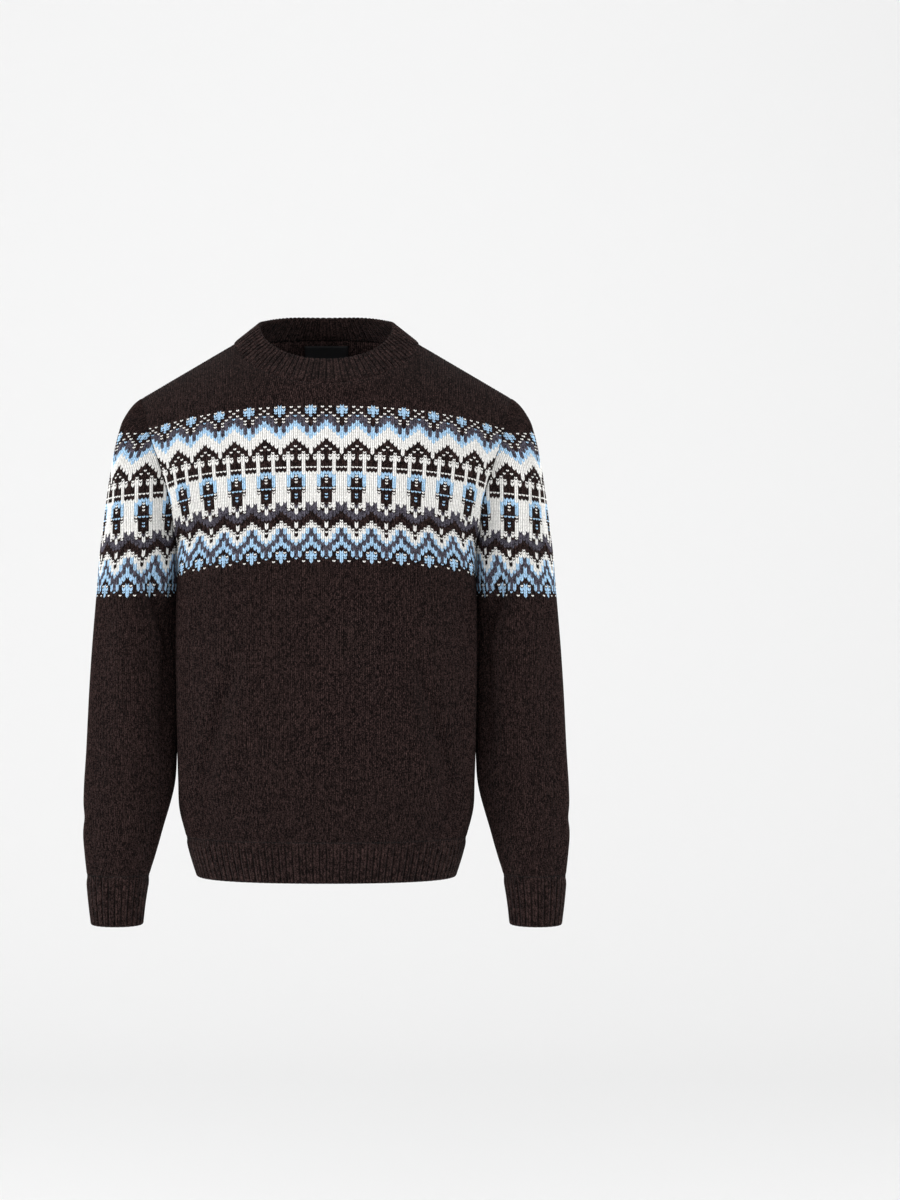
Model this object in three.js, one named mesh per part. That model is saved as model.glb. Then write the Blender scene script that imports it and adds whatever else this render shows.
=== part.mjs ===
// A fair isle jumper filled out as if worn: a ribbed mock neck, front and back panels that run straight
// up to dropped shoulders, sleeves that hang at the sides, ribbed cuffs and a ribbed hem.
// Millimetres, +Z up, the front faces -Y and the wearer's left is +X. The origin is the middle of the
// neck opening at the height of the shoulders. Courses are counted up from the top of the hem rib.
import * as THREE from "three";

const WALL = 2.5; // thickness of the plain knit
const RIB_WALL = 2.2; // thickness of the ribbed knit between its ribs
const RIB_RISE = 1.3; // how far a rib stands above the groove beside it
const SEAM = 0.3; // gap between two pieces at their seam
const NECK_SEAM = 0.6; // how far the neck rib starts above the neckline, which is less even
const RIB_SHAPE = [
  { across: 0, rise: 0 },
  { across: 0.3, rise: 1 },
  { across: 0.7, rise: 1 },
]; // one rib: its groove and the two edges of its crest

const UNDERARM = 104; // the course at which the side seam ends
const BAND_TOP = 146; // the last course of the patterned band
const SLEEVE_FOOT = -6; // the course at which the sleeve meets its cuff
const CUFF_FOOT = -22;
const HEM_FOOT = -14;

// Half a panel's columns of points: those that end on the neckline, on the shoulder seam and at the
// underarm.
const NECK_COLUMNS = 6;
const SHOULDER_COLUMNS = 4;
const SIDE_COLUMNS = 2;
const PANEL_LOW_ROWS = 14;
const ARMHOLE_ROWS = 7;
const YOKE_ROWS = 7; // half a sleeve has as many columns over the shoulder, to share the armhole's points
const UNDERARM_COLUMNS = 4;
const SLEEVE_LOW_ROWS = 14;
const CAP_ROWS = 5;

const HEM = { ribs: 110, rows: 3 };
const CUFF = { ribs: 28, rows: 3 };
const NECK_RIB = { ribs: 88, rows: 2 };

const SHOULDER = new THREE.Vector3(231, 4, -67); // where the shoulder seam meets the sleeve
const SIDE_DENT = 8; // the arm presses the side in by this much
const DENT_WIDTH = 34;

// The body's courses. edge is where a panel ends: the side seam, then the armhole. lean and reach place
// the control point that turns the cloth round to that edge.
const BODY = [
  {
    course: -14, middleZ: -663, edgeX: 160, edgeY: 0, edgeZ: -663,
    front: 104, back: 96, lean: 0, reach: 70, dent: 0,
  },
  {
    course: -7, middleZ: -638, edgeX: 168, edgeY: 0, edgeZ: -638,
    front: 107, back: 99, lean: 0, reach: 72, dent: 0,
  },
  {
    course: 0, middleZ: -613, edgeX: 174.5, edgeY: 0, edgeZ: -613,
    front: 110, back: 102, lean: 0, reach: 75, dent: 0,
  },
  {
    course: 10, middleZ: -577, edgeX: 183.5, edgeY: 0, edgeZ: -577,
    front: 117, back: 107, lean: 0, reach: 80, dent: 0,
  },
  {
    course: 22, middleZ: -534, edgeX: 190, edgeY: 0, edgeZ: -535,
    front: 121, back: 110, lean: 0, reach: 83, dent: 0.8,
  },
  {
    course: 52, middleZ: -425, edgeX: 194, edgeY: 0, edgeZ: -430,
    front: 122, back: 109, lean: 0, reach: 84, dent: 1.3,
  },
  {
    course: 90, middleZ: -288, edgeX: 194, edgeY: 0, edgeZ: -304,
    front: 124, back: 112, lean: 0, reach: 84, dent: 1.3,
  },
  {
    course: 104, middleZ: -236, edgeX: 193, edgeY: 0, edgeZ: -255,
    front: 125, back: 116, lean: 0, reach: 80, dent: 1.2,
  },
  {
    course: 111, middleZ: -211, edgeX: 191, edgeY: 32, edgeZ: -234,
    front: 124.5, back: 118, lean: 3, reach: 52, dent: 0.9,
  },
  {
    course: 120, middleZ: -178, edgeX: 191, edgeY: 58, edgeZ: -203,
    front: 123, back: 120, lean: 0, reach: 38, dent: 0.4,
  },
  {
    course: 130, middleZ: -142, edgeX: 200, edgeY: 68, edgeZ: -167,
    front: 120, back: 121, lean: -20, reach: 32, dent: 0,
  },
  {
    course: 140, middleZ: -105, edgeX: 212, edgeY: 63, edgeZ: -132,
    front: 115, back: 119, lean: -40, reach: 29, dent: 0,
  },
  {
    course: 146, middleZ: -83, edgeX: 218, edgeY: 54, edgeZ: -112,
    front: 111, back: 116, lean: -50, reach: 27, dent: 0,
  },
];

// The sleeve's courses. half is half its depth; turnX and turn place the control point beside the armhole.
const SLEEVE = [
  { course: -22, z: -721, outer: 290, inner: 229, y: -26, half: 33, turnX: 0, turn: 1 },
  { course: -14, z: -690, outer: 294, inner: 225.5, y: -23, half: 36, turnX: 0, turn: 1 },
  { course: -6, z: -659, outer: 297, inner: 220, y: -20, half: 40, turnX: 0, turn: 1 },
  { course: 0, z: -639, outer: 299.5, inner: 214, y: -17, half: 44, turnX: 0, turn: 1 },
  { course: 8, z: -611, outer: 302, inner: 206, y: -13, half: 50, turnX: 0, turn: 1 },
  { course: 24, z: -553, outer: 301.5, inner: 190, y: -6, half: 57, turnX: 0, turn: 1 },
  { course: 36, z: -511, outer: 299.5, inner: 187, y: -1, half: 62, turnX: 0, turn: 1 },
  { course: 58, z: -431, outer: 296, inner: 186, y: 3, half: 67, turnX: 0, turn: 1 },
  { course: 90, z: -315, outer: 287, inner: 186.5, y: 3, half: 73, turnX: 0, turn: 1 },
  { course: 104, z: -263, outer: 283, inner: 187, y: 2, half: 75, turnX: 2, turn: 0.95 },
  { course: 111, z: -238, outer: 280.5, inner: 187, y: 2, half: 76, turnX: 12, turn: 0.54 },
  { course: 120, z: -205, outer: 276, inner: 187, y: 2, half: 76, turnX: 25, turn: 0.22 },
  { course: 130, z: -168, outer: 270, inner: 187, y: 3, half: 74, turnX: 32, turn: 0.1 },
  { course: 140, z: -131, outer: 263, inner: 187, y: 4, half: 68, turnX: 28, turn: 0.04 },
  { course: 146, z: -108, outer: 257, inner: 187, y: 4, half: 60, turnX: 22, turn: 0.02 },
];
const HALF_ROUND = 4 / 3; // a cubic curve with its handles this far out is half a round

// The neckline and the neck rib's free edge, by the angle round from the middle of the front. The first
// and last rows repeat their neighbours, so that both edges are level in the middle.
const NECK = [
  { angle: -30, baseZ: -47, topZ: -18 },
  { angle: 0, baseZ: -57, topZ: -25 },
  { angle: 30, baseZ: -47, topZ: -18 },
  { angle: 60, baseZ: -24, topZ: 1 },
  { angle: 90, baseZ: 1, topZ: 25 },
  { angle: 120, baseZ: 6.5, topZ: 35 },
  { angle: 150, baseZ: 14, topZ: 41.5 },
  { angle: 180, baseZ: 17, topZ: 42.5 },
  { angle: 210, baseZ: 14, topZ: 41.5 },
];
const NECK_BASE = { halfWidth: 115, front: 105, back: 92, height: "baseZ" };
const NECK_TOP = { halfWidth: 83, front: 78, back: 72, height: "topZ" };
const NECK_ROUNDNESS = 0.91; // 1 is an ellipse
const NECK_SHARE = 0.45; // the share of half a panel's cloth that ends on the neckline

const LABEL = { halfColumns: 0.87, lowRow: 3.9, highRow: 6.4, clear: 0.4, thickness: 0.8, rows: 4 };

const YARN = new THREE.Color(0.028, 0.018, 0.016);
const SATIN = new THREE.Color(0.006, 0.006, 0.007);

const mix = THREE.MathUtils.lerp;

// The value of one column of a table between its rows, on a smooth curve through them.
function smooth(table, key, column, at) {
  const last = table.length - 1;
  const above = table.findIndex((row) => row[key] > at);
  const i = above < 0 ? last - 1 : Math.max(above - 1, 0);
  const slope = (k) => {
    const low = table[Math.max(k - 1, 0)];
    const high = table[Math.min(k + 1, last)];
    return (high[column] - low[column]) / (high[key] - low[key]);
  };
  const span = table[i + 1][key] - table[i][key];
  const t = (at - table[i][key]) / span;
  return hermite(table[i][column], slope(i) * span, table[i + 1][column], slope(i + 1) * span, t);
}

function hermite(start, startSlope, end, endSlope, t) {
  return (
    start * (1 + 2 * t) * (1 - t) ** 2 +
    startSlope * t * (1 - t) ** 2 +
    end * t * t * (3 - 2 * t) +
    endSlope * t * t * (t - 1)
  );
}

function hermitePoint(start, startWay, end, endWay, t) {
  return new THREE.Vector3(
    hermite(start.x, startWay.x, end.x, endWay.x, t),
    hermite(start.y, startWay.y, end.y, endWay.y, t),
    hermite(start.z, startWay.z, end.z, endWay.z, t),
  );
}

// Half a course of a panel. face is -1 for the front and 1 for the back. The result gives the point at a
// share of the cloth's full half width, and above the underarm the armhole cuts the last of it off.
function panelCourse(course, face) {
  const at = (column) => smooth(BODY, "course", column, course);
  const depth = face * at(face < 0 ? "front" : "back");
  const edge = new THREE.Vector3(at("edgeX"), face * Math.max(0, at("edgeY")), at("edgeZ"));
  const curve = new THREE.CubicBezierCurve3(
    new THREE.Vector3(0, depth, at("middleZ")),
    new THREE.Vector3(0.6 * edge.x, depth, at("middleZ")),
    new THREE.Vector3(edge.x + at("lean"), edge.y + face * at("reach"), mix(at("middleZ"), edge.z, 0.6)),
    edge,
  );
  const dent = SIDE_DENT * at("dent");
  const full = course > UNDERARM ? panelCourse(UNDERARM, face).length : curve.getLength();
  const pointAt = (share) => {
    const point = curve.getPointAt(Math.min(1, (share * full) / curve.getLength()));
    point.x -= dent * Math.exp(-((point.y / DENT_WIDTH) ** 2)) * Math.min(1, point.x / edge.x);
    return point;
  };
  return { pointAt, length: curve.getLength(), edgeShare: curve.getLength() / full };
}

// A point round the neck. angle is in degrees from the middle of the front.
function neckPoint(ring, angle) {
  const turn = THREE.MathUtils.degToRad(angle);
  const rounded = (x) => Math.sign(x) * Math.abs(x) ** NECK_ROUNDNESS;
  const depth = Math.cos(turn) > 0 ? ring.front : ring.back;
  return new THREE.Vector3(
    ring.halfWidth * rounded(Math.sin(turn)),
    -depth * rounded(Math.cos(turn)),
    smooth(NECK, "angle", ring.height, angle > 180 ? 360 - angle : angle),
  );
}

// Where half a panel's columns run. turned is the angle round the neck that a column ends at, and
// pastNeck is how far along the shoulder seam it ends.
function panelColumns(face) {
  const { edgeShare } = panelCourse(BAND_TOP, face);
  const neck = steps(0, 90, NECK_COLUMNS).map((turned) => {
    const straightUp = Math.sin(THREE.MathUtils.degToRad(turned)) ** NECK_ROUNDNESS;
    return { share: NECK_SHARE * mix(turned / 90, straightUp, 0.7), turned, pastNeck: 0 };
  });
  const shoulder = steps(0, 1, SHOULDER_COLUMNS).slice(1).map((pastNeck) => {
    return { share: mix(NECK_SHARE, edgeShare, pastNeck), turned: 90, pastNeck };
  });
  const side = steps(0, 1, SIDE_COLUMNS).slice(1).map((past) => {
    return { share: mix(edgeShare, 1, past), turned: 90, pastNeck: 1 };
  });
  return [...neck, ...shoulder, ...side];
}

// A panel's column from the band's top to the neckline or the shoulder seam.
function yokeColumn({ share, turned, pastNeck }, face) {
  const low = panelCourse(BAND_TOP, face).pointAt(share);
  const below = panelCourse(BAND_TOP - 1, face).pointAt(share);
  const angle = face < 0 ? turned : 180 - turned;
  const top = neckPoint(NECK_BASE, angle);
  const upNeck = neckPoint(NECK_TOP, angle).sub(top).setX(0).normalize();
  const overShoulder = new THREE.Vector3(0, -face, 0);
  top.lerp(SHOULDER, pastNeck);
  const length = low.distanceTo(top);
  const start = low.clone().sub(below).setLength(length);
  const turnedOver = mix(0.65 * (turned / 90) ** 2, 1, 1 - (1 - pastNeck) ** 2);
  const end = upNeck.lerp(overShoulder, turnedOver).setLength(length);
  return (t) => hermitePoint(low, start, top, end, t);
}

const armholeTop = (face) => yokeColumn({ share: 1, turned: 90, pastNeck: 1 }, face);

// Half a course of the left sleeve, from its outermost point round to the armhole or the underarm seam.
function sleeveCourse(course, face) {
  const at = (column) => smooth(SLEEVE, "course", column, course);
  const outer = new THREE.Vector3(at("outer"), at("y"), at("z"));
  let edge = new THREE.Vector3(at("inner"), at("y"), at("z"));
  if (course >= UNDERARM) edge = panelCourse(course, face).pointAt(1);
  const curve = new THREE.CubicBezierCurve3(
    outer,
    new THREE.Vector3(outer.x, outer.y + face * HALF_ROUND * at("half"), outer.z),
    new THREE.Vector3(
      edge.x + at("turnX"),
      edge.y + face * HALF_ROUND * at("half") * at("turn"),
      mix(edge.z, outer.z, 0.3),
    ),
    edge,
  );
  const full = course > UNDERARM ? sleeveCourse(UNDERARM, face).length : curve.getLength();
  const pointAt = (share) => curve.getPointAt(Math.min(1, (share * full) / curve.getLength()));
  return { pointAt, length: curve.getLength(), edgeShare: curve.getLength() / full };
}

// Where half a sleeve's columns run. over is how far down the armhole from the shoulder a column ends.
function sleeveColumns(face) {
  const { edgeShare } = sleeveCourse(BAND_TOP, face);
  const cap = steps(0, 1, YOKE_ROWS).map((over) => ({ share: over * edgeShare, over }));
  const under = steps(0, 1, UNDERARM_COLUMNS).slice(1).map((past) => {
    return { share: mix(edgeShare, 1, past), over: 1 };
  });
  return [...cap, ...under];
}

// The sleeve's column from the band's top to the armhole over the shoulder.
function capColumn({ share, over }, face) {
  const low = sleeveCourse(BAND_TOP, face).pointAt(share);
  const below = sleeveCourse(BAND_TOP - 1, face).pointAt(share);
  const top = armholeTop(face)(1 - over);
  const length = low.distanceTo(top);
  const start = low.clone().sub(below).setLength(length);
  const end = new THREE.Vector3(-0.87, face * -0.45 * over, 0.5).setLength(length);
  return (t) => hermitePoint(low, start, top, end, t);
}

const steps = (from, to, count) => Array.from({ length: count + 1 }, (_, i) => mix(from, to, i / count));
const armholeCourses = steps(UNDERARM, BAND_TOP, ARMHOLE_ROWS);
const mirrored = (p) => new THREE.Vector3(-p.x, p.y, p.z);

// A panel's points from the hem rib up. Each row runs so that the cloth's outside is towards the viewer.
function panelRows(face) {
  const columns = panelColumns(face);
  const courses = [...steps(0, UNDERARM, PANEL_LOW_ROWS).slice(0, -1), ...armholeCourses];
  const yoke = columns.map((column) => yokeColumn(column, face));
  const halves = [
    ...courses.map((course) => {
      const { pointAt } = panelCourse(course, face);
      return columns.map(({ share }) => pointAt(share));
    }),
    ...steps(0, 1, YOKE_ROWS).slice(1).map((t) => yoke.map((column) => column(t))),
  ];
  return halves.map((half) => {
    const row = [...half.slice(1).reverse().map(mirrored), ...half];
    return face < 0 ? row : row.reverse();
  });
}

// The left sleeve's points from the cuff up, each row from the front of the seam round to its back.
function sleeveRows() {
  const courses = [...steps(SLEEVE_FOOT, UNDERARM, SLEEVE_LOW_ROWS).slice(0, -1), ...armholeCourses];
  const halfRows = (face) => {
    const columns = sleeveColumns(face);
    const cap = columns.map((column) => capColumn(column, face));
    return [
      ...courses.map((course) => {
        const { pointAt } = sleeveCourse(course, face);
        return columns.map(({ share }) => pointAt(share));
      }),
      ...steps(0, 1, CAP_ROWS).slice(1).map((t) => cap.map((column) => column(t))),
    ];
  };
  const back = halfRows(1);
  return halfRows(-1).map((front, j) => [...front.slice(1).reverse(), ...back[j]]);
}

// Joins a grid's points that meet and lists its triangles, leaving out those with no area.
function sheetOf(rows) {
  const width = rows[0].length;
  const numbers = new Map();
  const points = [];
  const number = rows.flat().map((p) => {
    const key = placeKey(p);
    if (!numbers.has(key)) {
      numbers.set(key, points.length);
      points.push(p);
    }
    return numbers.get(key);
  });
  const faces = [];
  for (let j = 0; j + 1 < rows.length; j++) {
    for (let i = 0; i + 1 < width; i++) {
      const a = j * width + i;
      faces.push([a, a + 1, a + width + 1], [a, a + width + 1, a + width]);
    }
  }
  const joined = faces.map((face) => face.map((k) => number[k]));
  const whole = joined.filter(([a, b, c]) => a !== b && b !== c && c !== a);
  return { points, faces: whole, foot: new Set(number.slice(0, width)) };
}

const placeKey = (p) => p.toArray().map((x) => Math.round(x * 500)).join();

function areaVector(points, [a, b, c]) {
  const along = points[b].clone().sub(points[a]);
  return along.cross(points[c].clone().sub(points[a]));
}

// Adds up the area vectors round each point, over all the sheets given.
function addNormals(sheets) {
  const sums = new Map();
  for (const { points, faces } of sheets) {
    for (const face of faces) {
      const area = areaVector(points, face);
      for (const k of face) {
        const key = placeKey(points[k]);
        sums.set(key, (sums.get(key) ?? new THREE.Vector3()).clone().add(area));
      }
    }
  }
  return sums;
}

// The edges of a sheet that only one triangle has, as directed pairs.
function openEdges({ faces }) {
  const sides = faces.flatMap(([a, b, c]) => [[a, b], [b, c], [c, a]]);
  const known = new Set(sides.map(([a, b]) => `${a},${b}`));
  return sides.filter(([a, b]) => !known.has(`${b},${a}`));
}

// A closed wall: the sheet's own points drawn back from the seams, and the same points moved in.
// Where two pieces meet in a fold, each keeps its own way in.
function wallOf(sheet, shared) {
  const own = addNormals([sheet]);
  const edges = openEdges(sheet);
  const back = sheet.points.map(() => new THREE.Vector3());
  for (const [a, b] of edges) {
    const face = sheet.faces.find((f) => f.includes(a) && f.includes(b));
    const along = sheet.points[b].clone().sub(sheet.points[a]);
    const inward = areaVector(sheet.points, face).cross(along).normalize();
    back[a].add(inward);
    back[b].add(inward);
  }
  const ways = sheet.points.map((p, k) => {
    const alone = own.get(placeKey(p)).clone().normalize();
    const way = shared.get(placeKey(p)).clone().normalize();
    if (way.dot(alone) < 0.8) way.copy(alone);
    if (sheet.foot.has(k)) way.setZ(0).normalize();
    return { way, depth: WALL / Math.max(0.8, way.dot(alone)) };
  });
  const outer = sheet.points.map((p, k) =>
    back[k].lengthSq() > 0 ? p.clone().addScaledVector(back[k].normalize(), SEAM / 2) : p,
  );
  const inner = outer.map((p, k) => p.clone().addScaledVector(ways[k].way, -ways[k].depth));
  return closed(outer, inner, sheet.faces, edges);
}

function closed(outer, inner, faces, edges) {
  const n = outer.length;
  const under = faces.map(([a, b, c]) => [c + n, b + n, a + n]);
  const rim = edges.flatMap(([a, b]) => [[b, a, a + n], [b, a + n, b + n]]);
  return geometryOf([...outer, ...inner], [...faces, ...under, ...rim]);
}

function geometryOf(points, faces) {
  const geometry = new THREE.BufferGeometry();
  geometry.setAttribute("position", new THREE.Float32BufferAttribute(points.flatMap((p) => p.toArray()), 3));
  geometry.setIndex(faces.flat());
  geometry.computeVertexNormals();
  return geometry;
}

// A ribbed tube over a plain inside. path takes the shares of the way up and round, and gives a point
// in the bottom of a groove and the way out from there.
function ribbedTube({ ribs, rows }, path) {
  const outer = [];
  const inner = [];
  for (let j = 0; j <= rows; j++) {
    for (let k = 0; k < ribs; k++) {
      for (const { across, rise } of RIB_SHAPE) {
        const { point, out } = path(j / rows, (k + across) / ribs);
        outer.push(point.clone().addScaledVector(out, rise * RIB_RISE));
        if (across === 0) inner.push(point.clone().addScaledVector(out, -RIB_WALL));
      }
    }
  }
  const wide = ribs * RIB_SHAPE.length;
  const faces = [];
  const inside = (j, i) => outer.length + j * ribs + (i % ribs);
  const outside = (j, i) => j * wide + (i % wide);
  for (let j = 0; j < rows; j++) {
    for (let i = 0; i < wide; i++) {
      const [a, b] = [outside(j, i), outside(j, i + 1)];
      const [c, d] = [outside(j + 1, i + 1), outside(j + 1, i)];
      faces.push([a, b, c], [a, c, d]);
    }
    for (let i = 0; i < ribs; i++) {
      const [a, b] = [inside(j, i), inside(j, i + 1)];
      const [c, d] = [inside(j + 1, i + 1), inside(j + 1, i)];
      faces.push([c, b, a], [d, c, a]);
    }
  }
  for (let k = 0; k < ribs; k++) {
    for (const [j, up] of [[0, false], [rows, true]]) {
      const [a, b, c, d] = [0, 1, 2, 3].map((i) => outside(j, 3 * k + i));
      const [e, f] = [inside(j, k), inside(j, k + 1)];
      const rim = [[a, b, e], [b, f, e], [b, c, f], [c, d, f]];
      faces.push(...(up ? rim : rim.map((face) => face.reverse())));
    }
  }
  return geometryOf([...outer, ...inner], faces);
}

// A path round level courses, where the way out is level too. half takes a course, a face and a share.
function levelPath(foot, top, turnWay, half) {
  const pointAt = (course, around) => {
    const turn = ((around % 1) + 1) % 1;
    const quarter = 4 * turn;
    const face = quarter < 1 || quarter > 3 ? -1 : 1;
    const halfTurn = quarter % 2;
    const share = halfTurn < 1 ? halfTurn : 2 - halfTurn;
    return half(course, face, share, quarter < 2);
  };
  return (up, around) => {
    const course = mix(foot, top, up);
    const point = pointAt(course, around);
    const along = pointAt(course, around + turnWay).sub(pointAt(course, around - turnWay));
    const out = new THREE.Vector3(along.y, -along.x, 0).normalize();
    if (up === 1) point.z -= SEAM / 2;
    return { point, out };
  };
}

const hemPath = levelPath(HEM_FOOT, 0, 1e-3, (course, face, share, left) => {
  const point = panelCourse(course, face).pointAt(share);
  return left ? point : mirrored(point);
});

// Round a cuff from the middle of its front: a quarter out to its side, and so on round.
const cuffPath = levelPath(CUFF_FOOT, SLEEVE_FOOT, 1e-3, (course, face, share, left) => {
  const half = 0.5 + (left ? -0.5 : 0.5) * share;
  return sleeveCourse(course, face).pointAt(half);
});

// The neck rib stands on the straight lines between the panels' points along the neckline.
function neckPath(shared) {
  const corners = NECK_COLUMNS * 4;
  const cornerAt = (k) => {
    const angle = (360 * (((k % corners) + corners) % corners)) / corners;
    const point = neckPoint(NECK_BASE, angle);
    return { point, out: shared.get(placeKey(point)).clone().normalize() };
  };
  return (up, around) => {
    const place = around * corners;
    const [low, high] = [cornerAt(Math.floor(place)), cornerAt(Math.floor(place) + 1)];
    const part = place - Math.floor(place);
    const base = low.point.clone().lerp(high.point, part);
    const baseOut = low.out.clone().lerp(high.out, part).normalize();
    const rim = neckPoint(NECK_TOP, 360 * around);
    const past = neckPoint(NECK_TOP, (360 * around + 1) % 360);
    const rimOut = past.sub(rim).cross(rim.clone().sub(base)).normalize();
    const start = up === 0 ? NECK_SEAM / rim.distanceTo(base) : up;
    return { point: base.lerp(rim, start), out: baseOut.lerp(rimOut, up).normalize() };
  };
}

// The label lies against the inside of the back, so its points are the panel's, moved in.
function labelGeometry(rows, shared) {
  const middle = NECK_COLUMNS + SHOULDER_COLUMNS + SIDE_COLUMNS;
  const firstRow = PANEL_LOW_ROWS + ARMHOLE_ROWS;
  const insideAt = (j, i, depth) => {
    const way = shared.get(placeKey(rows[j][i])).clone().normalize();
    return rows[j][i].clone().addScaledVector(way, -depth);
  };
  const at = (row, column, depth) => {
    const j = Math.min(Math.floor(row), rows.length - 2);
    const i = Math.min(Math.floor(column), 2 * middle - 1);
    const low = insideAt(j, i, depth).lerp(insideAt(j, i + 1, depth), column - i);
    const high = insideAt(j + 1, i, depth).lerp(insideAt(j + 1, i + 1, depth), column - i);
    return low.lerp(high, row - j);
  };
  const columns = [-LABEL.halfColumns, 0, LABEL.halfColumns].map((k) => middle + k);
  const levels = steps(firstRow + LABEL.lowRow, firstRow + LABEL.highRow, LABEL.rows);
  const near = WALL + LABEL.clear;
  const sheet = sheetOf(levels.map((row) => columns.map((column) => at(row, column, near))));
  const far = levels.flatMap((row) => columns.map((column) => at(row, column, near + LABEL.thickness)));
  return closed(sheet.points, far, sheet.faces, openEdges(sheet));
}

function mirroredGeometry(geometry) {
  const copy = geometry.clone();
  copy.scale(-1, 1, 1);
  const index = copy.getIndex();
  for (let k = 0; k < index.count; k += 3) {
    const first = index.getX(k);
    index.setX(k, index.getX(k + 1));
    index.setX(k + 1, first);
  }
  copy.computeVertexNormals();
  return copy;
}

const frontRows = panelRows(-1);
const backRows = panelRows(1);
const leftRows = sleeveRows();
const rightRows = leftRows.map((row) => row.map(mirrored).reverse());
const sheets = {
  front: sheetOf(frontRows),
  back: sheetOf(backRows),
  sleeve_left: sheetOf(leftRows),
  sleeve_right: sheetOf(rightRows),
};
const shared = addNormals(Object.values(sheets));
const cuff = ribbedTube(CUFF, cuffPath);

const pieces = {
  ...Object.fromEntries(Object.entries(sheets).map(([name, sheet]) => [name, wallOf(sheet, shared)])),
  neck_rib: ribbedTube(NECK_RIB, neckPath(shared)),
  hem_rib: ribbedTube(HEM, hemPath),
  cuff_left: cuff,
  cuff_right: mirroredGeometry(cuff),
  neck_label: labelGeometry(backRows, shared),
};

const jumper = new THREE.Group();
jumper.name = "fair_isle_jumper";
for (const [name, geometry] of Object.entries(pieces)) {
  const label = name === "neck_label";
  const material = new THREE.MeshStandardMaterial({
    color: label ? SATIN : YARN,
    roughness: label ? 0.5 : 0.95,
    metalness: 0,
  });
  const mesh = new THREE.Mesh(geometry, material);
  mesh.name = name;
  jumper.add(mesh);
}

export default jumper;
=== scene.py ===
import math

import bpy
import numpy as np
from mathutils import Matrix, Vector


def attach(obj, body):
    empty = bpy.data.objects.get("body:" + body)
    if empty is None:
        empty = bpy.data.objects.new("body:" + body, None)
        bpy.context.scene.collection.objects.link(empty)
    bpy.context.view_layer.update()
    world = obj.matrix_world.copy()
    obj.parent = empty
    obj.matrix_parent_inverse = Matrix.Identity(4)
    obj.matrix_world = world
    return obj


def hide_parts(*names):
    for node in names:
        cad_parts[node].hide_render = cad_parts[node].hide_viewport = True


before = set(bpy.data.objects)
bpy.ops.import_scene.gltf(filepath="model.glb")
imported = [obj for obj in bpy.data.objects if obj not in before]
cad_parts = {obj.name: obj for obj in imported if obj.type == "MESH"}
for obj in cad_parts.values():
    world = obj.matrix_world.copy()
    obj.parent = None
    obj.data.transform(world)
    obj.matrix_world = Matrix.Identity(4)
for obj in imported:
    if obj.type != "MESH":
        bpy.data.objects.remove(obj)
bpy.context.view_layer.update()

MM = 0.001

# A course is a row of stitches, counted up from the hem's seam, and a wale is a column of them.
UNDERARM = 104  # the course at which the side seam ends
LAST_COURSE = 146  # the last one of the tables, just over the band
SLEEVE_FOOT = -6  # where a sleeve meets its cuff
CUFF_FOOT = -22
HEM_FOOT = -14
HALF_WALES = 57  # wales from the middle of a panel to its side seam
COURSE = 3.67  # height of a course
WALE = 4.58
PER_WALE = 4  # columns of points in a wale
LEAST_COLUMN = 0.12  # the least width, in wales, that a column keeps beside an edge
LEAST_COURSE = 0.35  # the least height, in courses, that a row keeps under an upper edge
YOKE_ROWS = 44  # rows enough from the last course to the neck and shoulders
CAP_ROWS = 26  # and to the top of a sleeve
SPREAD = 0.04  # how much wider the wales lie at the shoulders
SPREAD_FROM = 116
SPREAD_OVER = 30
THICK = 2.2  # from the plain face of the knit to the sheet inside it

SHOULDER = np.array([231.0, 4.0, -67.0])  # the outer end of the shoulder seam
SIDE_DENT = 8.0  # how far an arm presses in the body's side where the table's dent is 1
DENT_WIDTH = 34.0
SEAM_DRAW = 14  # courses below the underarm over which a sleeve draws in to the body's side
NECK_SHARE = 0.45  # the share of half a panel that ends at the neckline
NECK_ROUNDNESS = 0.91
PAST_EDGE = 1000.0  # a distance past any course's end
CURVE_SAMPLES = 201  # places at which a course's length is measured
CURVE_POINTS = 64  # points of a curve from the last course up

# The tables follow those of the solids, with the courses of the band slid along the same form to where the
# photo has them. The body's: the height of a panel's middle, its edge, how deep the front and the back lie,
# how the course's curve comes to its edge, and how much of the dent it has.
BODY_COLUMNS = ("course", "middle_z", "edge_x", "edge_y", "edge_z", "front", "back", "lean", "reach", "dent")
BODY_ROWS = (
    (-14, -663, 160, 0, -663, 104, 96, 0, 70, 0),
    (-7, -638, 168, 0, -638, 107, 99, 0, 72, 0),
    (0, -613, 174.5, 0, -613, 110, 102, 0, 75, 0),
    (10, -577, 183.5, 0, -577, 117, 107, 0, 80, 0),
    (22, -534, 190, 0, -535, 121, 110, 0, 83, 0.8),
    (52, -425, 194, 0, -430, 122, 109, 0, 84, 1.3),
    (90, -284, 194, 0, -304, 124, 112, 0, 84, 1.3),
    (104, -235, 193, 0, -255, 125, 116, 0, 80, 1.2),
    (111, -211, 191, 32, -234, 124.5, 118, 3, 52, 0.9),
    (120, -178, 191.9, 59, -199.4, 123, 120, 0, 38, 0.4),
    (130, -142, 202.4, 67, -160, 120, 121, -20, 32, 0),
    (140, -105, 214.1, 59.9, -125, 115, 119, -40, 29, 0),
    (146, -83, 219.5, 48.2, -106.7, 111, 116, -50, 27, 0),
)
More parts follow.
